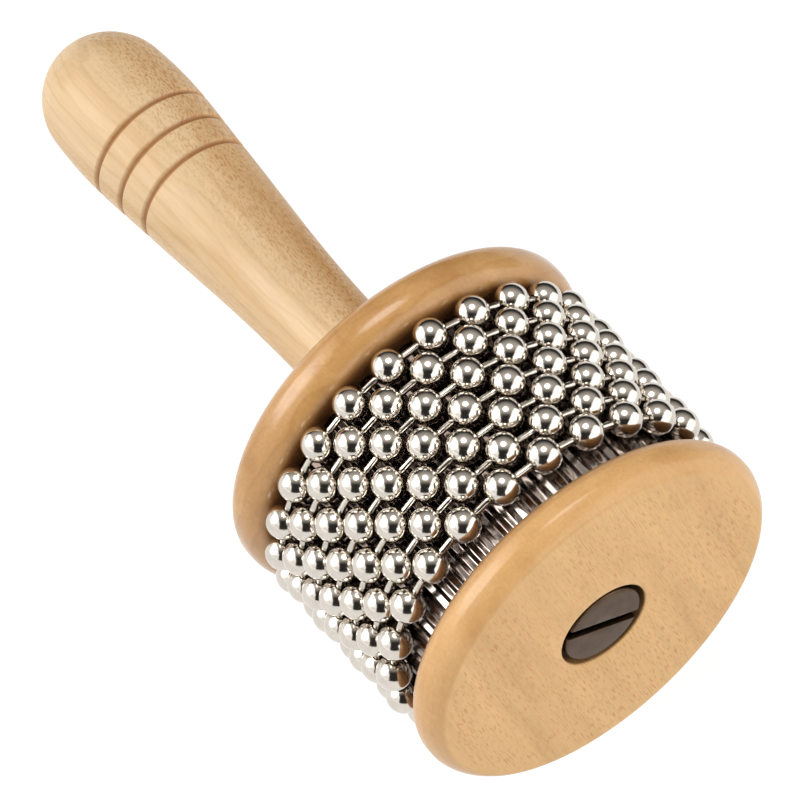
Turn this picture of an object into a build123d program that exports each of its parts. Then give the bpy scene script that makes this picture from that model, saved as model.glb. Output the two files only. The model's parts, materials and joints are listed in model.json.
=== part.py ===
from build123d import *
import os
from math import pi, sin, cos, asin, sqrt, radians

os.makedirs("parts", exist_ok=True)

# ---------------------------------------------------------------------------
# Cabasa: a wooden drum on a turned handle, wrapped in corrugated steel, with
# seven loops of ball chain that run round it. Millimetres.
# The instrument lies on the rims of its two discs. +Z is up, the axis of
# rotation runs along X, the front disc faces +X and the handle points to -X.
# "s" below is the distance from the front end towards the handle.
# ---------------------------------------------------------------------------

# --- discs -----------------------------------------------------------------
disc_r = 40.0            # both discs
front_face_s = 1.10      # flat front face of the front disc
front_flat_r = 36.9      # the flat ends here and the rim begins
front_rim_s = 5.60       # widest section of the front disc
front_back_s = 10.75     # inner face of the front disc
front_back_round = (5.2, 5.15)   # rounding of the inner edge: radial, axial
rear_inner_s = 56.60     # inner face of the rear disc
rear_rim_s = 62.10       # widest section of the rear disc
rear_back_s = 67.40      # face that the handle stands on
rear_inner_round = (4.8, 5.5)
rear_back_round = (7.0, 5.3)
rim_land = 1.0           # straight part at the widest section of each rim

# --- centre bolt -----------------------------------------------------------
counterbore_r = 9.80
counterbore_floor_s = 7.20
counterbore_edge = 0.45  # rounding of the counterbore's mouth
head_r = 8.80
head_flat_r = 8.25       # flat top inside the rounded edge
head_top_s = 1.20        # just under the disc's face
head_under_s = 6.00
slot_w = 2.0
slot_depth = 2.3
slot_angle = 68.7        # degrees from the vertical, in the face
washer_r = 9.2
washer_hole_r = 4.25
shank_r = 4.0            # M8
shank_end_s = 96.0
clear_hole_r = 4.3

# --- drum ------------------------------------------------------------------
core_r = 31.70
sleeve_mid_r = 32.25     # middle of the corrugated sheet
sleeve_amp = 0.24        # half the depth of the corrugation
sleeve_t = 0.30          # sheet thickness
sleeve_waves = 84

# --- handle ----------------------------------------------------------------
handle_neck_r = 9.80
handle_profile = [       # (s, radius) along the grip
    (78.5, 9.80),
    (89.7, 9.93),
    (100.9, 10.42),
    (112.0, 11.26),
    (123.2, 12.21),
    (134.3, 13.11),
    (145.5, 13.92),
    (151.0, 13.98),
    (156.65, 13.69),
]
handle_end_s = 171.30    # tip of the rounded end
groove_s = (129.4, 136.4, 143.35)
groove_w = 1.5
groove_depth = 0.80
tenon_r = 8.0            # spigot of the handle in the rear disc
tenon_end_s = 57.60
tenon_gap = 0.05
insert_r = 6.0
insert_end_s = 74.0
insert_bore_r = 4.05
blind_end_s = 101.0      # bottom of the hole past the bolt's end

# --- ball chain ------------------------------------------------------------
rows = 7
row_first_s = 18.40      # row nearest to the front disc
row_pitch = 5.75
beads_per_row = 23
bead_r = 3.50
bead_wall = 0.50
bead_hole_r = 0.86
bead_centre_r = 36.35
bead_phase = 92.3        # angle of a ball of row 7 about the axis, degrees from +Y towards +Z
link_rod_r = 0.72
link_head_r = 1.15
link_head_pos = 1.70     # head centre, from the ball's centre

# --- placing ---------------------------------------------------------------
length = handle_end_s - front_face_s
mid_s = (handle_end_s + front_face_s) / 2
axis_z = disc_r          # the discs stand on the floor


def X(s):
    return mid_s - s


def revolve_x(face):
    """Turn a face drawn in (x, r) on the XY plane about the X axis, then lift it."""
    return Pos(0, 0, axis_z) * revolve(face, Axis.X, 360)


def rod(s0, s1, r):
    """Cylinder along X from s0 to s1."""
    return Pos(X((s0 + s1) / 2), 0, axis_z) * Rot(0, 90, 0) * Cylinder(r, abs(s1 - s0))


def save(shape, name, material=None):
    shape.label = name
    export_step(shape, os.path.join("parts", name + ".step"))


def quarter(s_c, r_c, ds, dr, s_sign, n=7):
    """Points of a quarter ellipse from the rim (largest radius) to the face."""
    pts = []
    for k in range(n):
        t = (pi / 2) * k / (n - 1)
        pts.append((X(s_c + s_sign * ds * sin(t)), r_c + dr * cos(t)))
    return pts


# ---------------------------------------------------------------------------
# Front disc
# ---------------------------------------------------------------------------
bore_f = clear_hole_r
land = rim_land / 2
ellipse = [(X(front_rim_s - land), disc_r)]   # front rim: ellipse of 6.0 x 5.6, then into the flat
for deg in (15, 30, 42, 50):
    t = radians(deg)
    ellipse.append((X(front_rim_s - 5.6 * sin(t)), 34.0 + 6.0 * cos(t)))
ellipse.append((X(front_face_s), front_flat_r))
back = quarter(front_rim_s + land, disc_r - front_back_round[0], front_back_round[1] - land, front_back_round[0], +1)
with BuildSketch() as front_sk:
    with BuildLine():
        Spline(*ellipse, tangents=[(1, 0), (0, -1)])
        Line((X(front_face_s), front_flat_r), (X(front_face_s), counterbore_r + counterbore_edge))
        RadiusArc(
            (X(front_face_s), counterbore_r + counterbore_edge),
            (X(front_face_s + counterbore_edge), counterbore_r),
            counterbore_edge,
        )
        Polyline(
            (X(front_face_s + counterbore_edge), counterbore_r),
            (X(counterbore_floor_s), counterbore_r),
            (X(counterbore_floor_s), bore_f),
            (X(front_back_s), bore_f),
            back[-1],
        )
        Spline(*back[::-1], tangents=[(0, 1), (1, 0)])
        Line(back[0], ellipse[0])
    make_face()
front_disc = revolve_x(front_sk.sketch)
save(front_disc, "front_disc")

# ---------------------------------------------------------------------------
# Rear disc, bored for the handle's tenon
# ---------------------------------------------------------------------------
r_in = quarter(rear_rim_s - land, disc_r - rear_inner_round[0], rear_inner_round[1] - land, rear_inner_round[0], -1)
r_bk = quarter(rear_rim_s + land, disc_r - rear_back_round[0], rear_back_round[1] - land, rear_back_round[0], +1)
with BuildSketch() as rear_sk:
    with BuildLine():
        Spline(*r_in, tangents=[(1, 0), (0, -1)])
        Polyline(
            r_in[-1],
            (X(rear_inner_s), clear_hole_r),
            (X(tenon_end_s - 0.2), clear_hole_r),
            (X(tenon_end_s - 0.2), tenon_r + tenon_gap),
            (X(rear_back_s), tenon_r + tenon_gap),
            r_bk[-1],
        )
        Spline(*r_bk[::-1], tangents=[(0, 1), (1, 0)])
        Line(r_bk[0], r_in[0])
    make_face()
rear_disc = revolve_x(rear_sk.sketch)
save(rear_disc, "rear_disc")

# ---------------------------------------------------------------------------
# Drum core: a bored wooden cylinder between the discs
# ---------------------------------------------------------------------------
core = rod(front_back_s, rear_inner_s, core_r) - rod(front_back_s - 1, rear_inner_s + 1, clear_hole_r)
save(core, "core")

# ---------------------------------------------------------------------------
# Corrugated sleeve: a ring of tangent arcs, outside and inside, extruded
# ---------------------------------------------------------------------------
half = pi / sleeve_waves          # angle from a crest to a trough


def wave_ring(offset):
    """Closed wire of alternating convex and concave arcs, offset from the sheet's middle."""
    edges = []
    n = 2 * sleeve_waves
    for k in range(n):
        a0, a1 = (k - 0.5) * half, (k + 0.5) * half
        up = 1 if k % 2 == 0 else -1
        am = (a0 + a1) / 2
        # the middle line's arc: through the two inflection points and the crest or trough
        p0 = Vector(sleeve_mid_r * cos(a0), sleeve_mid_r * sin(a0))
        p1 = Vector(sleeve_mid_r * cos(a1), sleeve_mid_r * sin(a1))
        pm = Vector((sleeve_mid_r + up * sleeve_amp) * cos(am), (sleeve_mid_r + up * sleeve_amp) * sin(am))
        yield p0, pm, p1, up


def circle_through(p, q, r):
    ax, ay, bx, by, cx, cy = p.X, p.Y, q.X, q.Y, r.X, r.Y
    d = 2 * (ax * (by - cy) + bx * (cy - ay) + cx * (ay - by))
    ux = ((ax * ax + ay * ay) * (by - cy) + (bx * bx + by * by) * (cy - ay) + (cx * cx + cy * cy) * (ay - by)) / d
    uy = ((ax * ax + ay * ay) * (cx - bx) + (bx * bx + by * by) * (ax - cx) + (cx * cx + cy * cy) * (bx - ax)) / d
    return Vector(ux, uy)


def ring_wire(offset):
    """Offset each arc from its own centre, and join neighbours at the middle of their ends."""
    arcs = []
    for p0, pm, p1, up in wave_ring(offset):
        c = circle_through(p0, pm, p1)
        rad = (pm - c).length + up * offset
        arcs.append([c + (p0 - c).normalized() * rad, c + (pm - c).normalized() * rad, c + (p1 - c).normalized() * rad])
    n = len(arcs)
    ends = [(arcs[k - 1][2] + arcs[k][0]) * 0.5 for k in range(n)]
    edges = []
    for k in range(n):
        edges.append(Edge.make_three_point_arc(ends[k], arcs[k][1], ends[(k + 1) % n]))
    return Wire(edges)


outer = ring_wire(sleeve_t / 2)
inner = ring_wire(-sleeve_t / 2)
sheet = Face(outer, [inner])
sleeve = extrude(sheet, amount=rear_inner_s - front_back_s, dir=(0, 0, 1))
sleeve = Pos(X(rear_inner_s), 0, axis_z) * Rot(0, 90, 0) * sleeve
save(sleeve, "corrugated_sleeve")

# ---------------------------------------------------------------------------
# Handle: turned, with three grooves, a tenon and a stepped bore
# ---------------------------------------------------------------------------
s_e, r_e = handle_profile[-1]
tip = []
for k in range(1, 7):
    t = (pi / 2) * k / 6
    tip.append((X(s_e + (handle_end_s - s_e) * sin(t)), r_e * cos(t) if k < 6 else 0.0))
grip = [(X(s), r) for s, r in handle_profile]
with BuildSketch() as handle_sk:
    with BuildLine():
        Polyline(
            (X(blind_end_s), 0),
            (X(blind_end_s), clear_hole_r),
            (X(insert_end_s), clear_hole_r),
            (X(insert_end_s), insert_r + tenon_gap),
            (X(tenon_end_s), insert_r + tenon_gap),
            (X(tenon_end_s), tenon_r),
            (X(rear_back_s), tenon_r),
            (X(rear_back_s), handle_neck_r),
            grip[0],
        )
        Spline(*grip, *tip, tangents=[(-1, 0), (0, -1)])
        Line(tip[-1], (X(blind_end_s), 0))
    make_face()
handle = revolve_x(handle_sk.sketch)


def grip_radius(s):
    """Radius of the grip at s, by straight lines between the listed stations."""
    for (s0, r0), (s1, r1) in zip(handle_profile, handle_profile[1:]):
        if s0 <= s <= s1:
            return r0 + (r1 - r0) * (s - s0) / (s1 - s0)
    raise ValueError(s)


for g in groove_s:
    rg = grip_radius(g) + 0.04
    with BuildSketch() as v_sk:
        with BuildLine():
            Polyline(
                (X(g - groove_w / 2), rg),
                (X(g - 0.15), rg - groove_depth),
                (X(g + 0.15), rg - groove_depth),
                (X(g + groove_w / 2), rg),
                (X(g + groove_w / 2), rg + 2),
                (X(g - groove_w / 2), rg + 2),
                close=True,
            )
        make_face()
    handle = handle - revolve_x(v_sk.sketch)
save(handle, "handle")

# ---------------------------------------------------------------------------
# Threaded insert in the handle's end
# ---------------------------------------------------------------------------
insert = rod(tenon_end_s, insert_end_s, insert_r) - rod(tenon_end_s - 1, insert_end_s + 1, insert_bore_r)
save(insert, "handle_insert")

# ---------------------------------------------------------------------------
# Centre bolt: round slotted head with a rounded edge, and its washer
# ---------------------------------------------------------------------------
edge = head_r - head_flat_r
with BuildSketch() as bolt_sk:
    with BuildLine():
        Polyline(
            (X(shank_end_s), 0),
            (X(head_top_s), 0),
            (X(head_top_s), head_flat_r),
        )
        RadiusArc((X(head_top_s), head_flat_r), (X(head_top_s + edge), head_r), -edge)
        Polyline(
            (X(head_top_s + edge), head_r),
            (X(head_under_s), head_r),
            (X(head_under_s), shank_r),
            (X(shank_end_s - 0.8), shank_r),
            (X(shank_end_s), shank_r - 0.8),
            (X(shank_end_s), 0),
        )
    make_face()
bolt = revolve_x(bolt_sk.sketch)
slot = (
    Pos(X(head_top_s + slot_depth / 2 - 1), 0, axis_z)
    * Rot(slot_angle, 0, 0)
    * Box(slot_depth + 2, slot_w, 2 * head_r + 2)
)
bolt = bolt - slot
save(bolt, "center_bolt")

washer = rod(head_under_s, counterbore_floor_s, washer_r) - rod(head_under_s - 1, counterbore_floor_s + 1, washer_hole_r)
save(washer, "bolt_washer")

# ---------------------------------------------------------------------------
# Ball chains. Each loop is a regular polygon: hollow balls at its corners and
# dumbbell pins along its sides, with their heads inside the balls. Alternate
# loops are turned by half a pitch, so that the balls nest.
# ---------------------------------------------------------------------------
step = 360.0 / beads_per_row
side = 2 * bead_centre_r * sin(radians(step / 2))

# one ball at the origin, holes along its two chords (chords lean in by step/2)
ball = Sphere(bead_r) - Sphere(bead_r - bead_wall)
for sgn in (1, -1):
    ball = ball - Rot(sgn * -step / 2, 0, 0) * Pos(0, sgn * bead_r, 0) * Rot(90, 0, 0) * Cylinder(bead_hole_r, 2 * bead_r)

# one pin along Y, centred on a side of the polygon
head_y = side / 2 - link_head_pos
pin = Rot(90, 0, 0) * Cylinder(link_rod_r, 2 * head_y)
pin = pin + Pos(0, head_y, 0) * Sphere(link_head_r) + Pos(0, -head_y, 0) * Sphere(link_head_r)

for row in range(1, rows + 1):
    # loop 7 is nearest to the front disc, loop 1 to the rear disc
    s = row_first_s + (rows - row) * row_pitch
    phase = bead_phase + (step / 2 if (rows - row) % 2 else 0.0)
    balls, pins = [], []
    for k in range(beads_per_row):
        # a turn about X takes +Z towards -Y, so the ball drawn at +Z goes to the angle wanted
        turn = Pos(X(s), 0, axis_z) * Rot(phase - 90 + k * step, 0, 0)
        balls.append(turn * Pos(0, 0, bead_centre_r) * ball)
        pins.append(
            Pos(X(s), 0, axis_z)
            * Rot(phase - 90 + (k + 0.5) * step, 0, 0)
            * Pos(0, 0, bead_centre_r * cos(radians(step / 2)))
            * pin
        )
    save(Compound(children=[b.solid() for b in balls]), f"chain_{row}_beads")
    save(Compound(children=[p.solid() for p in pins]), f"chain_{row}_links")

print("length", length, "side", side, "rod seen", side - 2 * bead_r)
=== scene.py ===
import json
import math

import bmesh
import bpy
import numpy as np
from mathutils import Euler, Matrix, Vector

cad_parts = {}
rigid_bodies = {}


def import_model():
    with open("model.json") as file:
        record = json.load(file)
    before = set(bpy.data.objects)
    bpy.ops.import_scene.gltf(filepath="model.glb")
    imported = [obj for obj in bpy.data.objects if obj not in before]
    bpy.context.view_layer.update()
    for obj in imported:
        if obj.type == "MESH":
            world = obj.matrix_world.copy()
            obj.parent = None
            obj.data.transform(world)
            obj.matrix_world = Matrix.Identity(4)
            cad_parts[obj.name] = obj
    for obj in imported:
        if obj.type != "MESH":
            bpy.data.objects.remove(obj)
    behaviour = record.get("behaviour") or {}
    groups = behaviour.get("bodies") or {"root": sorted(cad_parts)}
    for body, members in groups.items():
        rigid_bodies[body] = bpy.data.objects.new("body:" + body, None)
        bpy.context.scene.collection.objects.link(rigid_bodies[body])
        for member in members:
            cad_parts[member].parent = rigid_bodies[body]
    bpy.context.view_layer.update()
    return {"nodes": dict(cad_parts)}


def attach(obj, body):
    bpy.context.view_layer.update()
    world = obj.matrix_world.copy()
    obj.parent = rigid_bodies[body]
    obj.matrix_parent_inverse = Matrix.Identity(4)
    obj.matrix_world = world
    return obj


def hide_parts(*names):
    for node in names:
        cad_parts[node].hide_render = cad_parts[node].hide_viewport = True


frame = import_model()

# ---------------------------------------------------------------------------
# Dimensions, in millimetres. "s" runs from the front end towards the handle.
# ---------------------------------------------------------------------------
MID_S = 86.2
AXIS_Z = 40.0
DISC_R = 40.0
ROWS = 7
BEADS = 23
STEP = 360.0 / BEADS
BEAD_R = 3.50
BEAD_IN = 3.00
BEAD_HOLE = 0.86
BEAD_CENTRE = 36.35
ROW_FIRST = 18.40
ROW_PITCH = 5.75
BEAD_PHASE = 92.3
GROOVES = (129.4, 136.4, 143.35)


def X(s):
    return MID_S - s


# ---------------------------------------------------------------------------
# Mesh helpers
# ---------------------------------------------------------------------------
def spline(points, t0, t1, per=8):
    """Points of a clamped cubic spline through points, by chord length."""
    p = np.array(points, float)
    n = len(p)
    h = np.linalg.norm(np.diff(p, axis=0), axis=1)
    a = np.zeros((n, n))
    b = np.zeros((n, 2))
    a[0, 0] = a[-1, -1] = 1.0
    b[0] = np.array(t0, float) / np.linalg.norm(t0)
    b[-1] = np.array(t1, float) / np.linalg.norm(t1)
    for i in range(1, n - 1):
        a[i, i - 1] = 1 / h[i - 1]
        a[i, i] = 2 * (1 / h[i - 1] + 1 / h[i])
        a[i, i + 1] = 1 / h[i]
        b[i] = 3 * ((p[i] - p[i - 1]) / h[i - 1] ** 2 + (p[i + 1] - p[i]) / h[i] ** 2)
    m = np.linalg.solve(a, b)
    out = []
    for i in range(n - 1):
        for k in range(per):
            u = k / per
            h00, h10 = 2 * u**3 - 3 * u**2 + 1, u**3 - 2 * u**2 + u
            h01, h11 = -2 * u**3 + 3 * u**2, u**3 - u**2
            out.append(h00 * p[i] + h10 * h[i] * m[i] + h01 * p[i + 1] + h11 * h[i] * m[i + 1])
    out.append(p[-1])
    return [tuple(q) for q in out]


def new_object(name, verts, faces, sharp=32.0):
    me = bpy.data.meshes.new(name)
    me.from_pydata([tuple(v) for v in verts], [], faces)
    me.validate()
    me.shade_smooth()
    if sharp:
        me.set_sharp_from_angle(angle=math.radians(sharp))
    me.update()
    o = bpy.data.objects.new(name, me)
    bpy.context.scene.collection.objects.link(o)
    return o


def revolve_rows(profile, n, loop):
    """Vertices and faces of a turned shape: profile of (axial, radius), about the first axis.
    loop: the profile is closed (a ring); otherwise both of its ends lie on the axis."""
    verts, rows, faces = [], [], []
    ang = [2 * math.pi * k / n for k in range(n)]
    for a, r in profile:
        if r < 1e-9:
            rows.append([len(verts)])
            verts.append((a, 0.0, 0.0))
        else:
            rows.append(list(range(len(verts), len(verts) + n)))
            verts += [(a, r * math.cos(t), r * math.sin(t)) for t in ang]
    pairs = list(zip(rows, rows[1:]))
    if loop:
        pairs.append((rows[-1], rows[0]))
    for p, q in pairs:
        for k in range(n):
            j = (k + 1) % n
            if len(p) == 1 and len(q) == 1:
                continue
            if len(p) == 1:
                faces.append((p[0], q[k], q[j]))
            elif len(q) == 1:
                faces.append((p[k], q[0], p[j]))
            else:
                faces.append((p[k], q[k], q[j], p[j]))
    return verts, faces


def outward(o):
    """Normals outwards."""
    bm = bmesh.new()
    bm.from_mesh(o.data)
    bmesh.ops.recalc_face_normals(bm, faces=bm.faces)
    bm.to_mesh(o.data)
    bm.free()
    o.data.update()
    return o


def turned(name, profile, n, loop, sharp=32.0):
    """A turned piece on the instrument's axis; profile of (x, r) in mm."""
    verts, faces = revolve_rows(profile, n, loop)
    verts = [(v[0] / 1000, v[1] / 1000, (v[2] + AXIS_Z) / 1000) for v in verts]
    o = outward(new_object(name, verts, faces, None))
    o.data.shade_smooth()
    o.data.set_sharp_from_angle(angle=math.radians(sharp))
    return o


# ---------------------------------------------------------------------------
# Material helpers
# ---------------------------------------------------------------------------
class Mat:
    """A node material with a Principled shader, and short ways to add nodes."""

    def __init__(self, name):
        self.m = bpy.data.materials.new(name)
        self.m.use_nodes = True
        self.t = self.m.node_tree
        self.p = next(n for n in self.t.nodes if n.type == "BSDF_PRINCIPLED")
        self.tc = self.t.nodes.new("ShaderNodeTexCoord")

    def link(self, a, b):
        self.t.links.new(a, b)

    def set(self, **kw):
        for k, v in kw.items():
            self.p.inputs[k.replace("_", " ")].default_value = v

    def coords(self, rot=(0, 0, 0), scale=(1000, 1000, 1000), loc=(0, 0, 0)):
        n = self.t.nodes.new("ShaderNodeMapping")
        n.vector_type = "POINT"
        n.inputs["Location"].default_value = loc
        n.inputs["Rotation"].default_value = rot
        n.inputs["Scale"].default_value = scale
        self.link(self.tc.outputs["Object"], n.inputs["Vector"])
        return n.outputs["Vector"]

    def again(self, vec, scale=(1, 1, 1), rot=(0, 0, 0), loc=(0, 0, 0)):
        n = self.t.nodes.new("ShaderNodeMapping")
        n.inputs["Location"].default_value = loc
        n.inputs["Rotation"].default_value = rot
        n.inputs["Scale"].default_value = scale
        self.link(vec, n.inputs["Vector"])
        return n.outputs["Vector"]

    def noise(self, vec, scale=1.0, detail=2.0, rough=0.5, distort=0.0):
        n = self.t.nodes.new("ShaderNodeTexNoise")
        n.inputs["Scale"].default_value = scale
        n.inputs["Detail"].default_value = detail
        n.inputs["Roughness"].default_value = rough
        n.inputs["Distortion"].default_value = distort
        self.link(vec, n.inputs["Vector"])
        return n.outputs["Fac"]

    def ramp(self, fac, stops, interp="EASE"):
        n = self.t.nodes.new("ShaderNodeValToRGB")
        n.color_ramp.interpolation = interp
        e = n.color_ramp.elements
        while len(e) < len(stops):
            e.new(0.5)
        for el, (pos, col) in zip(e, stops):
            el.position = pos
            el.color = (col, col, col, 1) if isinstance(col, (int, float)) else (*col, 1)
        self.link(fac, n.inputs["Fac"])
        return n.outputs["Color"]

    def maprange(self, fac, a, b, c, d, smooth=False):
        n = self.t.nodes.new("ShaderNodeMapRange")
        n.interpolation_type = "SMOOTHSTEP" if smooth else "LINEAR"
        for i, v in zip(("From Min", "From Max", "To Min", "To Max"), (a, b, c, d)):
            n.inputs[i].default_value = v
        self.link(fac, n.inputs["Value"])
        return n.outputs["Result"]

    def mix(self, fac, a, b, blend="MIX"):
        """a and b are sockets or colours; fac is a socket or a number."""
        n = self.t.nodes.new("ShaderNodeMix")
        n.data_type = "RGBA"
        n.blend_type = blend
        n.clamp_factor = True
        for sock, v in ((n.inputs[0], fac), (n.inputs[6], a), (n.inputs[7], b)):
            if isinstance(v, bpy.types.NodeSocket):
                self.link(v, sock)
            elif isinstance(v, (int, float)):
                sock.default_value = v
            else:
                sock.default_value = (*v, 1)
        return n.outputs[2]

    def math(self, op, a, b=0.0):
        n = self.t.nodes.new("ShaderNodeMath")
        n.operation = op
        for sock, v in ((n.inputs[0], a), (n.inputs[1], b)):
            if isinstance(v, bpy.types.NodeSocket):
                self.link(v, sock)
            else:
                sock.default_value = v
        return n.outputs[0]

    def sep(self, vec):
        n = self.t.nodes.new("ShaderNodeSeparateXYZ")
        self.link(vec, n.inputs[0])
        return n.outputs

    def bump(self, height, strength, distance):
        n = self.t.nodes.new("ShaderNodeBump")
        n.inputs["Strength"].default_value = strength
        n.inputs["Distance"].default_value = distance
        self.link(height, n.inputs["Height"])
        self.link(n.outputs["Normal"], self.p.inputs["Normal"])
        return n

    def color(self, sock):
        self.link(sock, self.p.inputs["Base Color"])

    def rough(self, sock):
        self.link(sock, self.p.inputs["Roughness"])


def dress(o, mat, body=None, nodes=()):
    o.data.materials.clear()
    o.data.materials.append(mat.m)
    if nodes:
        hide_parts(*nodes)
    if body:
        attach(o, body)
    return o


# --- wood --------------------------------------------------------------------
def wood(name, rot, base, dark, light, fleck, fleck_scale, fleck_amount, layer_axis, layer_mm, layer_dark,
         fade=None, rim=None, cut=(0.55, 0.65), gloss=0.20, coat=0.95):
    """Solid wood: the grain runs along the first axis of the turned coordinates (mm).
    fleck_scale: ray flecks per mm on the three axes. layer_axis: the axis across the growth layers.
    fade: sines of the angle from the third axis between which the flecks thin out; rim: radii, in the same way."""
    w = Mat(name)
    g = w.coords(rot=rot, loc=-(Euler(rot).to_matrix() @ Vector((0, 0, AXIS_Z))))    # from the instrument's axis
    axes = w.sep(g)
    # broad figure
    figure = w.noise(w.again(g, (0.014, 0.12, 0.12)), 1.0, 2.0, 0.45, 0.5)
    col = w.ramp(figure, [(0.28, dark), (0.5, base), (0.75, light)])
    # growth layers, bent by a slow noise
    bend = w.noise(w.again(g, (0.035, 0.10, 0.10), loc=(5, 2, 8)), 1.0, 3.0, 0.5)
    depth = w.math("ADD", w.math("MULTIPLY", axes[layer_axis], 1.0 / layer_mm), w.math("MULTIPLY", bend, 2.4))
    late = w.ramp(w.math("FRACT", depth), [(0.0, (1, 1, 1)), (0.62, (1, 1, 1)),
                                           (0.90, (1 - 0.75 * layer_dark, 1 - 1.1 * layer_dark, 1 - 1.6 * layer_dark)),
                                           (1.0, (1, 1, 1))], "LINEAR")
    col = w.mix(1.0, col, late, "MULTIPLY")
    # fibres
    fibre = w.noise(w.again(g, (0.06, 1.7, 1.7), loc=(3, 7, 1)), 1.0, 3.0, 0.6)
    col = w.mix(1.0, col, w.maprange(fibre, 0.3, 0.7, 0.94, 1.05), "MULTIPLY")
    # ray flecks: short dashes along the grain where the rays are cut across
    ray = w.noise(w.again(g, fleck_scale, loc=(11, 5, 2)), 1.0, 1.0, 0.4)
    rays = w.ramp(ray, [(cut[0], 0.0), (cut[1], 1.0)], "LINEAR")
    patch = w.noise(w.again(g, (0.05, 0.09, 0.09), loc=(1, 9, 4)), 1.0, 1.0, 0.5)
    amount = w.maprange(patch, 0.3, 0.7, 0.55 * fleck_amount, fleck_amount)
    if fade:
        span = w.math("ADD", w.math("MULTIPLY", axes[1], axes[1]), w.math("MULTIPLY", axes[2], axes[2]))
        turn = w.math("DIVIDE", w.math("ABSOLUTE", axes[1]), w.math("SQRT", span))
        amount = w.math("MULTIPLY", amount, w.maprange(turn, fade[0], fade[1], 1.0, 0.0))
        # the two sides that the rays come out on are deeper in tone: partly the grain's own tone, partly painted shade
        # for the handle's shaded edge
        col = w.mix(w.maprange(turn, 0.15, 0.60, 1.0, 0.0), col, w.mix(1.0, col, (0.99, 0.90, 0.77), "MULTIPLY"))
    if rim:
        across = w.math("ADD", w.math("MULTIPLY", axes[0], axes[0]), w.math("MULTIPLY", axes[2], axes[2]))
        amount = w.math("MULTIPLY", amount, w.maprange(w.math("SQRT", across), rim[0], rim[1], 1.0, 0.15))
    col = w.mix(w.math("MULTIPLY", rays, amount), col, fleck)
    w.color(col)
    w.rough(w.maprange(fibre, 0.3, 0.7, 0.46, 0.56))
    w.set(Specular_IOR_Level=0.02, Coat_Weight=coat, Coat_Roughness=gloss, Coat_IOR=1.45)
    w.bump(w.math("ADD", fibre, w.math("MULTIPLY", w.math("MULTIPLY", rays, amount), 0.5)), 0.16, 0.00005)
    w.last = col
    return w


ANG = math.atan2(0.933, -0.36)     # grain of the discs, in the YZ plane
disc_wood = wood("disc_wood", (-ANG, 0, math.radians(-90)),
                 (0.780, 0.462, 0.178), (0.715, 0.408, 0.152), (0.835, 0.505, 0.202), (0.58, 0.205, 0.038),
                 (0.36, 0.33, 3.9), 0.60, 1, 7.0, 0.05, rim=(35.0, 37.0), gloss=0.19, coat=0.66)
rear_wood = wood("disc_wood_rear", (-ANG, 0, math.radians(-80)),
                 (0.590, 0.308, 0.106), (0.520, 0.258, 0.083), (0.65, 0.352, 0.128), (0.32, 0.135, 0.035),
                 (0.42, 0.33, 3.2), 0.55, 1, 4.0, 0.10, rim=(35.0, 37.0), gloss=0.19, coat=0.95)
# painted light on the disc wood: whiter rims, partly the end grain's own tone and partly a painted sheen; painted
# shade on the inner faces, in the counterbore and round the handle's tenon
for dw in (disc_wood, rear_wood):
    da = dw.sep(dw.coords(loc=(0, 0, -AXIS_Z)))
    dr = dw.math("SQRT", dw.math("ADD", dw.math("MULTIPLY", da[1], da[1]), dw.math("MULTIPLY", da[2], da[2])))
    # rims: partly the end grain's own tone, partly a painted whitish sheen
    edge = dw.maprange(dr, 36.6, 38.2, 0.0, 1.0, True)
    rim_sheen_inner_shade = dw.mix(edge, dw.last, dw.mix(1.0, dw.last, (0.945, 0.91, 0.95) if dw is disc_wood else (1.0, 1.02, 1.06), "MULTIPLY"))
    # painted shade on the inner faces next to the bead rows, where the beads shade them
    if dw is disc_wood:
        inner_face_shade = dw.maprange(da[0], X(7.2), X(10.2), 0.0, 1.0)
    else:
        inner_face_shade = dw.math("MULTIPLY", dw.maprange(da[0], X(58.4), X(57.0), 0.0, 1.0), dw.maprange(dr, 38.2, 36.2, 0.0, 1.0))
    rim_sheen_inner_shade = dw.mix(inner_face_shade, rim_sheen_inner_shade, dw.mix(1.0, rim_sheen_inner_shade, (0.40, 0.33, 0.31), "MULTIPLY"))
    # painted shade: near-black brown in the counterbore and round the handle's tenon
    dw.color(dw.mix(dw.maprange(dr, 9.75, 10.1, 0.8, 0.0), rim_sheen_inner_shade, (0.13, 0.055, 0.020)))

handle_wood = wood("handle_wood", (math.radians(38), 0, math.radians(1.5)),
                   (0.775, 0.553, 0.320), (0.710, 0.472, 0.248), (0.820, 0.605, 0.368), (0.51, 0.185, 0.026),
                   (1.15, 3.6, 0.33), 0.80, 2, 3.2, 0.09, (0.50, 0.97), cut=(0.50, 0.64), gloss=0.22, coat=0.40)
# painted shade: the turned grooves darkened, where shade falls in them
ha = handle_wood.sep(handle_wood.coords())
groove_shade = None
for gx in GROOVES:
    off = handle_wood.math("ABSOLUTE", handle_wood.math("SUBTRACT", ha[0], X(gx)))
    one = handle_wood.maprange(off, 0.30, 0.66, 0.76, 0.0)
    groove_shade = one if groove_shade is None else handle_wood.math("MAXIMUM", groove_shade, one)
handle_wood.color(handle_wood.mix(groove_shade, handle_wood.last, (0.33, 0.115, 0.020)))

core_wood = wood("core_wood", (0, 0, 0),
                 (0.52, 0.34, 0.17), (0.46, 0.29, 0.14), (0.58, 0.38, 0.20), (0.33, 0.18, 0.08),
                 (0.8, 3.4, 0.33), 0.5, 2, 3.0, 0.15)

# --- metals ------------------------------------------------------------------
nickel = Mat("chain_nickel")
n1 = nickel.noise(nickel.coords(), 0.55, 3.0, 0.55)
nickel.color(nickel.ramp(n1, [(0.3, (0.61, 0.562, 0.500)), (0.7, (0.67, 0.620, 0.555))]))
nickel.rough(nickel.maprange(n1, 0.3, 0.7, 0.115, 0.155))
nickel.set(Metallic=1.0)

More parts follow.
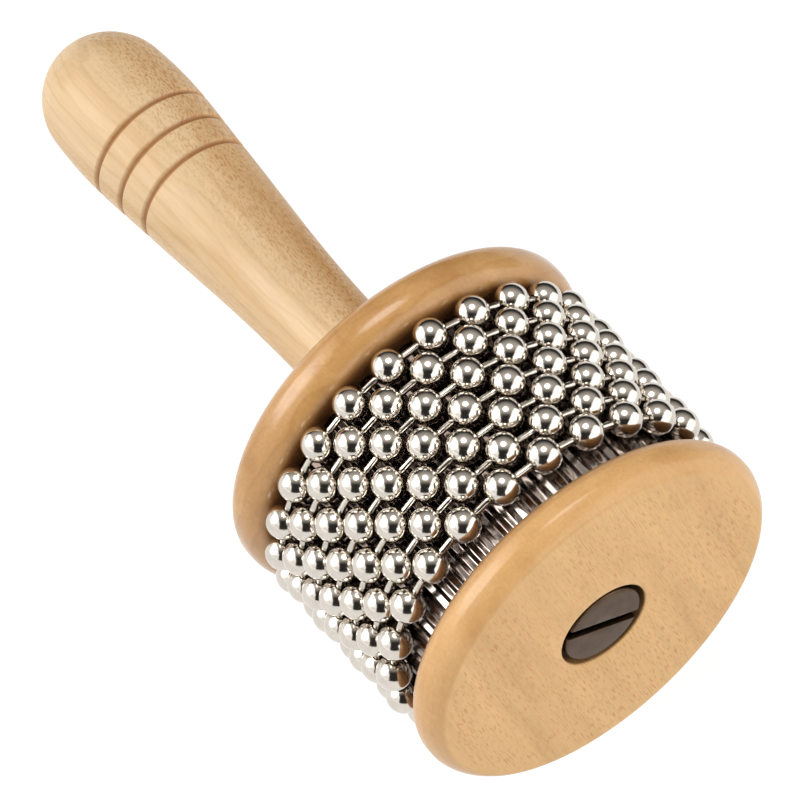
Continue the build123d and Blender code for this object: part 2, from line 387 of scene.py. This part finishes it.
links_nickel = Mat("link_nickel")
n2 = links_nickel.noise(links_nickel.coords(), 0.9, 3.0, 0.6)
links_nickel.color(links_nickel.ramp(n2, [(0.3, (0.54, 0.50, 0.44)), (0.7, (0.62, 0.575, 0.515))]))
links_nickel.rough(links_nickel.maprange(n2, 0.3, 0.7, 0.10, 0.18))
links_nickel.set(Metallic=1.0)

steel = Mat("sleeve_steel")
n3 = steel.noise(steel.coords(scale=(40, 500, 500)), 1.0, 2.0, 0.5)
sx = steel.sep(steel.coords())
# painted shade: the sleeve darker under the bead rows, lighter only by the front disc
shade_under_beads = steel.mix(steel.maprange(sx[0], X(19.5), X(16.0), 0.0, 1.0), (0.20, 0.175, 0.16), (1.0, 1.0, 1.0))
scol = steel.ramp(n3, [(0.3, (0.300, 0.255, 0.230)), (0.7, (0.345, 0.298, 0.275))])
steel.color(steel.mix(1.0, scol, shade_under_beads, "MULTIPLY"))
steel.rough(steel.maprange(n3, 0.3, 0.7, 0.13, 0.18))
steel.set(Metallic=1.0)

bronze = Mat("bolt_bronze")
bv = bronze.coords(loc=(0, 0, -AXIS_Z))
bx = bronze.sep(bv)
rad = bronze.math("SQRT", bronze.math("ADD", bronze.math("MULTIPLY", bx[1], bx[1]), bronze.math("MULTIPLY", bx[2], bx[2])))
comb = bronze.t.nodes.new("ShaderNodeCombineXYZ")
bronze.link(rad, comb.inputs[0])
rings = bronze.noise(comb.outputs[0], 2.6, 2.0, 0.6)
cloud = bronze.noise(bv, 0.35, 3.0, 0.55)
bcol = bronze.ramp(cloud, [(0.3, (0.066, 0.037, 0.019)), (0.7, (0.095, 0.055, 0.029))])
bcol = bronze.mix(1.0, bcol, bronze.maprange(rings, 0.3, 0.7, 0.82, 1.18), "MULTIPLY")
# painted shade in the slot and on the head's side below its rounded edge, where they face the dark gap of the
# counterbore
bcol = bronze.mix(bronze.maprange(bx[0], X(1.70), X(2.30), 0.0, 1.0), bcol, (0.012, 0.007, 0.005))
bronze.color(bcol)
bronze.rough(bronze.maprange(rings, 0.3, 0.7, 0.30, 0.42))
bronze.set(Metallic=0.9, Specular_IOR_Level=0.5)
bronze.bump(rings, 0.15, 0.00003)

zinc = Mat("washer_steel")
n4 = zinc.noise(zinc.coords(), 0.5, 3.0, 0.6)
zinc.color(zinc.ramp(n4, [(0.3, (0.44, 0.44, 0.45)), (0.7, (0.58, 0.58, 0.58))]))
zinc.rough(zinc.maprange(n4, 0.3, 0.7, 0.25, 0.4))
zinc.set(Metallic=1.0)

brass = Mat("insert_brass")
n5 = brass.noise(brass.coords(), 0.5, 3.0, 0.6)
brass.color(brass.ramp(n5, [(0.3, (0.60, 0.43, 0.17)), (0.7, (0.74, 0.56, 0.26))]))
brass.rough(brass.maprange(n5, 0.3, 0.7, 0.2, 0.35))
brass.set(Metallic=1.0)

# ---------------------------------------------------------------------------
# Discs
# ---------------------------------------------------------------------------
LAND = 0.5


def quarter(s_c, r_c, ds, dr, sign, n=14):
    return [(X(s_c + sign * ds * math.sin(math.pi / 2 * k / (n - 1))), r_c + dr * math.cos(math.pi / 2 * k / (n - 1)))
            for k in range(n)]


def arc(c, r, a0, a1, n):
    return [(c[0] + r * math.cos(a0 + (a1 - a0) * k / (n - 1)), c[1] + r * math.sin(a0 + (a1 - a0) * k / (n - 1)))
            for k in range(n)]


FACE_S, FLAT_R, RIM_S, BACK_S = 1.10, 36.9, 5.60, 10.75
front_pts = [(X(RIM_S - LAND), DISC_R)]
for deg in (15, 30, 42, 50):
    front_pts.append((X(RIM_S - 5.6 * math.sin(math.radians(deg))), 34.0 + 6.0 * math.cos(math.radians(deg))))
front_pts.append((X(FACE_S), FLAT_R))
prof = spline(front_pts, (1, 0), (0, -1), 5)
prof += [(X(FACE_S), r) for r in (34.0, 30.0, 24.0, 18.0, 13.0)]
cb_r, cb_e = 9.80, 0.45
mouth = arc((X(FACE_S + cb_e), cb_r + cb_e), cb_e, 0.0, -math.pi / 2, 7)
prof += mouth
prof += [(X(4.0), cb_r), (X(7.20), cb_r), (X(7.20), 4.3), (X(BACK_S), 4.3)]
prof += [(X(BACK_S), 15.0), (X(BACK_S), 26.0)]
prof += quarter(RIM_S + LAND, DISC_R - 5.2, 5.15 - LAND, 5.2, +1)[::-1]
front_disc = turned("front_disc_turned", prof, 256, True, 40)
dress(front_disc, disc_wood, "frame", ("front_disc",))

r_in = quarter(62.10 - LAND, DISC_R - 4.8, 5.5 - LAND, 4.8, -1)
r_bk = quarter(62.10 + LAND, DISC_R - 7.0, 5.3 - LAND, 7.0, +1)
prof = r_in + [(X(56.60), 25.0), (X(56.60), 12.0), (X(56.60), 4.3), (X(57.4), 4.3), (X(57.4), 8.05), (X(67.40), 8.05),
               (X(67.40), 15.0), (X(67.40), 24.0)] + r_bk[::-1]
rear_disc = turned("rear_disc_turned", prof, 256, True, 40)
dress(rear_disc, rear_wood, "frame", ("rear_disc",))

# ---------------------------------------------------------------------------
# Handle
# ---------------------------------------------------------------------------
GRIP = [(78.5, 9.80), (89.7, 9.93), (100.9, 10.42), (112.0, 11.26), (123.2, 12.21), (134.3, 13.11), (145.5, 13.92),
        (151.0, 13.98), (156.65, 13.69)]
END_S = 171.30
pts = [(s, r) for s, r in GRIP]
for k in range(1, 7):
    t = math.pi / 2 * k / 6
    pts.append((GRIP[-1][0] + (END_S - GRIP[-1][0]) * math.sin(t), GRIP[-1][1] * math.cos(t) if k < 6 else 0.0))
grip = spline(pts, (1, 0), (0, -1), 10)


def grip_r(s):
    for (s0, r0), (s1, r1) in zip(grip, grip[1:]):
        if s0 <= s <= s1:
            return r0 + (r1 - r0) * (s - s0) / (s1 - s0)
    return grip[-1][1]


def line_r(s):
    for (s0, r0), (s1, r1) in zip(GRIP, GRIP[1:]):
        if s0 <= s <= s1:
            return r0 + (r1 - r0) * (s - s0) / (s1 - s0)


grooves = GROOVES
GW, GD = 1.5, 0.80
outer = [p for p in grip if not any(abs(p[0] - g) < GW / 2 + 0.35 for g in grooves)]
for g in grooves:
    rg = line_r(g) + 0.04
    a, b = g - GW / 2, g + GW / 2
    outer += [(a - 0.30, grip_r(a - 0.30)), (a - 0.02, grip_r(a) - 0.015), (a + 0.06, grip_r(a) - 0.10),
              (g - 0.17, rg - GD + 0.02), (g, rg - GD), (g + 0.17, rg - GD + 0.02),
              (b - 0.06, grip_r(b) - 0.10), (b + 0.02, grip_r(b) - 0.015), (b + 0.30, grip_r(b + 0.30))]
tipped = [p for p in outer if p[0] > 156.0]
body = sorted([p for p in outer if p[0] <= 156.0])
prof = [(X(101.0), 0.0), (X(101.0), 4.3), (X(74.0), 4.3), (X(74.0), 6.05), (X(57.6), 6.05), (X(57.6), 8.0),
        (X(67.40), 8.0), (X(67.40), 9.62), (X(67.52), 9.76), (X(67.70), 9.80)]
prof += [(X(s), r) for s, r in body] + [(X(s), r) for s, r in tipped]
handle = turned("handle_turned", prof, 192, False, 50)
dress(handle, handle_wood, "frame", ("handle",))

# ---------------------------------------------------------------------------
# Corrugated sleeve: one sheet, closed at both ends
# ---------------------------------------------------------------------------
WAVES, PER = 84, 20
MIDR, AMP, SHEET = 32.25, 0.24, 0.15
s0, s1 = 10.75, 56.60
NS = 5
verts, faces = [], []
n = WAVES * PER
for off, rng in ((SHEET, range(NS)), (-SHEET, range(NS - 1, -1, -1))):
    for i in rng:
        x = X(s0 + (s1 - s0) * i / (NS - 1))
        for k in range(n):
            a = 2 * math.pi * k / n
            r = MIDR + off + AMP * math.asin(0.96 * math.cos(WAVES * a)) / math.asin(0.96)
            verts.append((x / 1000, r * math.cos(a) / 1000, (r * math.sin(a) + AXIS_Z) / 1000))
rows = 2 * NS
for i in range(rows):
    j = (i + 1) % rows
    for k in range(n):
        m = (k + 1) % n
        faces.append((i * n + k, i * n + m, j * n + m, j * n + k))
sleeve = outward(new_object("corrugated_sheet", verts, faces, None))
sleeve.data.shade_smooth()
sleeve.data.set_sharp_from_angle(angle=math.radians(60))
dress(sleeve, steel, "frame", ("corrugated_sleeve",))

# ---------------------------------------------------------------------------
# Centre bolt: slotted round head, and its shank
# ---------------------------------------------------------------------------
HEAD_R, HEAD_FLAT, HEAD_TOP, HEAD_UNDER = 8.80, 8.25, 1.20, 6.00
e = HEAD_R - HEAD_FLAT
prof = [(X(HEAD_TOP), 0.0), (X(HEAD_TOP), 3.0), (X(HEAD_TOP), 6.0)]
prof += arc((X(HEAD_TOP + e), HEAD_FLAT), e, 0.0, math.pi / 2, 7)
prof += [(X(HEAD_UNDER), HEAD_R), (X(HEAD_UNDER), 4.0), (X(95.2), 4.0), (X(96.0), 3.2), (X(96.0), 0.0)]
bolt = turned("bolt_slotted", prof, 128, False, 30)
cut = bpy.data.meshes.new("slot_cut")
bm = bmesh.new()
bmesh.ops.create_cube(bm, size=1.0)
depth, width = 2.3, 2.0
bm.transform(Matrix.Translation((X(HEAD_TOP + depth / 2 - 1) / 1000, 0, AXIS_Z / 1000))
             @ Matrix.Rotation(math.radians(68.7), 4, "X")
             @ Matrix.Diagonal(((depth + 2) / 1000, width / 1000, (2 * HEAD_R + 2) / 1000, 1)))
bm.to_mesh(cut)
bm.free()
cutter = bpy.data.objects.new("slot_cut", cut)
bpy.context.scene.collection.objects.link(cutter)
mod = bolt.modifiers.new("slot", "BOOLEAN")
mod.operation, mod.solver, mod.object = "DIFFERENCE", "EXACT", cutter
bev = bolt.modifiers.new("edge", "BEVEL")
bev.width, bev.segments, bev.limit_method, bev.angle_limit = 0.00016, 2, "ANGLE", math.radians(50)
bpy.context.view_layer.update()
me = bpy.data.meshes.new_from_object(bolt.evaluated_get(bpy.context.evaluated_depsgraph_get()))
bolt.modifiers.clear()
bolt.data = me
bpy.data.objects.remove(cutter)
bolt.data.shade_smooth()
bolt.data.set_sharp_from_angle(angle=math.radians(35))
dress(bolt, bronze, "frame", ("center_bolt",))

# ---------------------------------------------------------------------------
# Ball chains: hollow balls with two holes, and dumbbell pins between them
# ---------------------------------------------------------------------------
th1 = math.asin((BEAD_HOLE + 0.10) / BEAD_R)
th2 = math.asin(BEAD_HOLE / BEAD_IN)
ball_prof = []
NB = 24
for k in range(NB + 1):
    t = th1 + (math.pi - 2 * th1) * k / NB
    ball_prof.append((BEAD_R * math.cos(t), BEAD_R * math.sin(t)))
ball_prof += [(-BEAD_R * math.cos(th1) + 0.06, BEAD_HOLE + 0.015), (-BEAD_R * math.cos(th1) + 0.14, BEAD_HOLE)]
for k in range(9):
    t = math.pi - th2 - (math.pi - 2 * th2) * k / 8
    ball_prof.append((BEAD_IN * math.cos(t), BEAD_IN * math.sin(t)))
ball_prof += [(BEAD_R * math.cos(th1) - 0.14, BEAD_HOLE), (BEAD_R * math.cos(th1) - 0.06, BEAD_HOLE + 0.015)]
bv_, bf_ = revolve_rows(ball_prof, 40, True)
# axis of the turned ball to the local Y (along the loop), then bent so that the holes point along the two pins
lean = math.radians(STEP / 2)
ball_v = []
for a, b, c in bv_:
    x, y, z = b, a, c
    u = max(-1.0, min(1.0, y / BEAD_R))
    al = -lean * math.copysign(1.0, u) * (3 * u * u - 2 * abs(u) ** 3)
    ball_v.append((x, y * math.cos(al) - z * math.sin(al), y * math.sin(al) + z * math.cos(al)))
ball_f = bf_

SIDE = 2 * BEAD_CENTRE * math.sin(lean)
ROD_R, HD_R, HD_POS = 0.72, 1.15, 1.70
hy = SIDE / 2 - HD_POS
ta = math.asin(ROD_R / HD_R)
pin_prof = []
for k in range(9):
    t = (math.pi - ta) * k / 8
    pin_prof.append((hy + HD_R * math.cos(t), HD_R * math.sin(t) if k else 0.0))
pin_prof += [(hy * 0.3, ROD_R), (-hy * 0.3, ROD_R)]
pin_prof += [(-a, r) for a, r in pin_prof[:9][::-1]]
pv_, pin_f = revolve_rows(pin_prof, 24, False)
pin_v = [(b, a, c) for a, b, c in pv_]


def ring(name, verts, faces, out, turn, s):
    """23 copies of a small mesh round the axis, in one object."""
    base = np.array(verts, float) + np.array((0.0, 0.0, out))
    all_v, all_f = [], []
    for k in range(BEADS):
        a = math.radians(turn + k * STEP)
        c, d = math.cos(a), math.sin(a)
        v = np.empty_like(base)
        v[:, 0] = base[:, 0] + X(s)
        v[:, 1] = base[:, 1] * c - base[:, 2] * d
        v[:, 2] = base[:, 1] * d + base[:, 2] * c + AXIS_Z
        all_f += [tuple(i + k * len(base) for i in f) for f in faces]
        all_v.append(v / 1000)
    o = outward(new_object(name, np.vstack(all_v).tolist(), all_f, None))
    o.data.shade_smooth()
    o.data.set_sharp_from_angle(angle=math.radians(50))
    return o


for row in range(1, ROWS + 1):
    s = ROW_FIRST + (ROWS - row) * ROW_PITCH
    phase = BEAD_PHASE + (STEP / 2 if (ROWS - row) % 2 else 0.0)
    balls = ring(f"balls_{row}", ball_v, ball_f, BEAD_CENTRE, phase - 90, s)
    dress(balls, nickel, f"chain_{row}", (f"chain_{row}_beads",))
    pins = ring(f"pins_{row}", pin_v, pin_f, BEAD_CENTRE * math.cos(lean), phase - 90 + STEP / 2, s)
    dress(pins, links_nickel, f"chain_{row}", (f"chain_{row}_links",))

# hidden pieces keep their own meshes
for node, mat in (("core", core_wood), ("bolt_washer", zinc), ("handle_insert", brass)):
    o = frame["nodes"][node]
    o.data.materials.clear()
    o.data.materials.append(mat.m)

# ---------------------------------------------------------------------------
# Stage: pale floor, soft panels
# ---------------------------------------------------------------------------
bm = bmesh.new()
bmesh.ops.create_circle(bm, cap_ends=True, segments=96, radius=60.0)
me = bpy.data.meshes.new("floor")
bm.to_mesh(me)
bm.free()
floor = bpy.data.objects.new("floor", me)
floor.location = (0, 0, -0.0002)
bpy.context.scene.collection.objects.link(floor)
fl = Mat("floor_white")
fn = fl.noise(fl.coords(scale=(3, 3, 3)), 1.0, 2.0, 0.5)
fl.color(fl.ramp(fn, [(0.3, (0.19, 0.19, 0.19)), (0.7, (0.21, 0.21, 0.21))]))
fl.set(Roughness=0.9, Specular_IOR_Level=0.0, Emission_Color=(1, 1, 1, 1), Emission_Strength=0.92)
floor.data.materials.append(fl.m)
floor.visible_diffuse = False


def panel(name, at, to, w, h, radiance, shape="RECTANGLE", color=(1, 1, 1), soft=0.12):
    """A soft box with a given radiance."""
    li = bpy.data.lights.new(name, "AREA")
    li.shape = shape
    li.size, li.size_y = w, h
    area = w * h * (math.pi / 4 if shape in ("DISK", "ELLIPSE") else 1.0)
    li.energy = radiance * math.pi * area
    li.color = color
    o = bpy.data.objects.new(name, li)
    o.location = at
    o.rotation_euler = (Vector(to) - Vector(at)).to_track_quat("-Z", "Y").to_euler()
    o.visible_camera = False
    bpy.context.scene.collection.objects.link(o)
    return o


def wall(name, n, dist, u0, u1, z0, z1, radiance):
    """Part of an upright soft wall at dist from the axis, in the horizontal direction n."""
    n = Vector((n[0], n[1], 0.0)).normalized()
    side = Vector((-n.y, n.x, 0.0))
    at = n * dist + side * ((u0 + u1) / 2) + Vector((0, 0, (z0 + z1) / 2))
    return panel(name, at, at - n, u1 - u0, z1 - z0, radiance)


LEFT, RIGHT = (-0.485, -0.875), (0.83, 0.56)
wall("left_key", LEFT, 0.9, -0.30, 0.30, 0.24, 0.86, 3.0)
wall("left_key_heart", LEFT, 0.9, -0.18, 0.18, 0.36, 0.74, 3.6)
wall("left_key_low", LEFT, 0.9, -0.30, 0.30, 0.0, 0.24, 1.0)
wall("left_key_top", LEFT, 0.9, -0.30, 0.30, 0.86, 0.99, 1.4)
wall("left_a_low", LEFT, 0.9, 0.30, 1.25, 0.0, 0.45, 1.1)
wall("left_a_mid", LEFT, 0.9, 0.30, 1.15, 0.45, 0.60, 1.3)
wall("left_a_strip", LEFT, 0.9, 0.30, 1.10, 0.60, 0.83, 1.5)
wall("left_a_top", LEFT, 0.9, 0.30, 1.035, 0.83, 0.99, 1.3)
wall("left_b_low", LEFT, 0.9, -1.035, -0.30, 0.0, 0.45, 0.9)
wall("left_b_mid", LEFT, 0.9, -1.035, -0.30, 0.45, 0.57, 1.3)
wall("left_b_strip", LEFT, 0.9, -1.035, -0.30, 0.57, 0.83, 1.6)
wall("left_b_top", LEFT, 0.9, -1.035, -0.30, 0.83, 0.99, 1.4)
wall("right_a", RIGHT, 0.9, -1.05, 0.0, 0.05, 0.80, 2.2)
wall("right_b", RIGHT, 0.9, 0.0, 0.80, 0.05, 0.80, 1.6)
wall("right_arch_1", RIGHT, 0.9, -0.7, 0.8, 0.80, 0.95, 1.5)
wall("right_arch_2", RIGHT, 0.9, -0.4, 0.5, 0.95, 1.12, 1.5)
wall("left_arch_1", LEFT, 0.9, -0.8, 0.8, 0.99, 1.13, 1.5)
wall("left_arch_2", LEFT, 0.9, -0.45, 0.45, 1.13, 1.30, 1.5)
panel("lamp_top", (-0.06, 0.045, 1.25), (0, 0, 0), 0.60, 0.60, 6.6, "DISK")

world = bpy.data.worlds.new("studio")
bpy.context.scene.world = world
world.use_nodes = True
wt = world.node_tree
wt.nodes.clear()
out = wt.nodes.new("ShaderNodeOutputWorld")
bg_cam = wt.nodes.new("ShaderNodeBackground")
bg_dif = wt.nodes.new("ShaderNodeBackground")
bg_glo = wt.nodes.new("ShaderNodeBackground")
bg_cam.inputs["Color"].default_value = (1, 1, 1, 1)
bg_dif.inputs["Color"].default_value = (0.05, 0.05, 0.05, 1)
tc = wt.nodes.new("ShaderNodeTexCoord")


def wvec(op, a, b=None, scale=None):
    n = wt.nodes.new("ShaderNodeVectorMath")
    n.operation = op
    wt.links.new(a, n.inputs[0])
    if isinstance(b, tuple):
        n.inputs[1].default_value = b
    elif b is not None:
        wt.links.new(b, n.inputs[1])
    if scale is not None:
        wt.links.new(scale, n.inputs["Scale"])
    return n


def wramp(fac, stops, tint=(1.0, 0.95, 0.89)):
    n = wt.nodes.new("ShaderNodeValToRGB")
    n.color_ramp.interpolation = "EASE"
    for k in range(len(stops) - 2):
        n.color_ramp.elements.new(0.4 + 0.1 * k)
    for el, (pos, c) in zip(n.color_ramp.elements, stops):
        el.position = pos
        el.color = (c * tint[0], c * tint[1], c * tint[2], 1)
    wt.links.new(fac, n.inputs["Fac"])
    return n.outputs["Color"]


# a grey ceiling that runs from side to side, and the glow round the lamp
ray = tc.outputs["Generated"]
SIDE_DIR = (0.60523, 0.79607, 0.0)
side = wvec("DOT_PRODUCT", ray, SIDE_DIR).outputs["Value"]
lat = wt.nodes.new("ShaderNodeVectorMath")
lat.operation = "SCALE"
lat.inputs[0].default_value = SIDE_DIR
wt.links.new(side, lat.inputs["Scale"])
flat = wvec("NORMALIZE", wvec("SUBTRACT", ray, lat.outputs[0]).outputs[0]).outputs[0]
ceiling = wramp(wvec("DOT_PRODUCT", flat, (-0.207, 0.156, 0.966)).outputs["Value"],
                ((0.60, 0.030), (0.74, 0.18), (0.88, 0.40), (1.0, 0.58)))
glow = wramp(wvec("DOT_PRODUCT", ray, (-0.051, 0.038, 0.998)).outputs["Value"],
             ((0.86, 0.0), (0.95, 0.16), (0.985, 0.7)))
add = wt.nodes.new("ShaderNodeMix")
add.data_type = "RGBA"
add.blend_type = "ADD"
add.inputs[0].default_value = 1.0
wt.links.new(ceiling, add.inputs[6])
wt.links.new(glow, add.inputs[7])
# the sheen of the left soft box on lacquer, and the light from below
sheen = wvec("SCALE", wramp(wvec("DOT_PRODUCT", ray, (-0.468, -0.754, 0.461)).outputs["Value"],
                            ((0.88, 0.0), (0.94, 0.35), (0.985, 1.0)), (1.0, 1.0, 1.0)))
sheen.inputs["Scale"].default_value = 5.5
wt.links.new(wvec("ADD", add.outputs[2], sheen.outputs[0]).outputs[0], bg_glo.inputs["Color"])
below = wramp(wvec("DOT_PRODUCT", ray, (0.0, 0.0, 1.0)).outputs["Value"], ((0.0, 0.84), (0.03, 0.05)), (1.0, 1.0, 1.0))
wt.links.new(below, bg_dif.inputs["Color"])
lp = wt.nodes.new("ShaderNodeLightPath")
m1 = wt.nodes.new("ShaderNodeMixShader")
m2 = wt.nodes.new("ShaderNodeMixShader")
wt.links.new(lp.outputs["Is Glossy Ray"], m1.inputs["Fac"])
wt.links.new(bg_dif.outputs[0], m1.inputs[1])
wt.links.new(bg_glo.outputs[0], m1.inputs[2])
wt.links.new(lp.outputs["Is Camera Ray"], m2.inputs["Fac"])
wt.links.new(m1.outputs[0], m2.inputs[1])
wt.links.new(bg_cam.outputs[0], m2.inputs[2])
wt.links.new(m2.outputs[0], out.inputs["Surface"])

# ---------------------------------------------------------------------------
# Camera
# ---------------------------------------------------------------------------
right = Vector((0.60523, 0.79607, 0.0))
down = Vector((0.64388, -0.48958, -0.58796))
fwd = Vector((-0.46809, 0.35585, -0.80892))
front = Vector((MID_S, 0.0, AXIS_Z))
pos = (front - (39.105 * right + 42.811 * down + 1566.043 * fwd)) / 1000
cam = bpy.data.cameras.new("camera")
cam.sensor_fit = "AUTO"
cam.sensor_width = 36.0
cam.lens = 377.09
cam.clip_start, cam.clip_end = 0.01, 200.0
cam.dof.use_dof = False
co = bpy.data.objects.new("camera", cam)
rot = Matrix((right, -down, -fwd)).transposed()
co.matrix_world = Matrix.Translation(pos) @ rot.to_4x4()
bpy.context.scene.collection.objects.link(co)
bpy.context.scene.camera = co
bpy.context.scene.view_settings.view_transform = "Standard"
bpy.context.scene.view_settings.look = "None"

# ---------------------------------------------------------------------------
# Sizes
# ---------------------------------------------------------------------------
bpy.context.view_layer.update()
lo, hi = [1e9] * 3, [-1e9] * 3
for o in bpy.data.objects:
    if o.type != "MESH" or o is floor or o.hide_render:
        continue
    for v in o.data.vertices:
        p = o.matrix_world @ v.co
        for i in range(3):
            lo[i], hi[i] = min(lo[i], p[i]), max(hi[i], p[i])
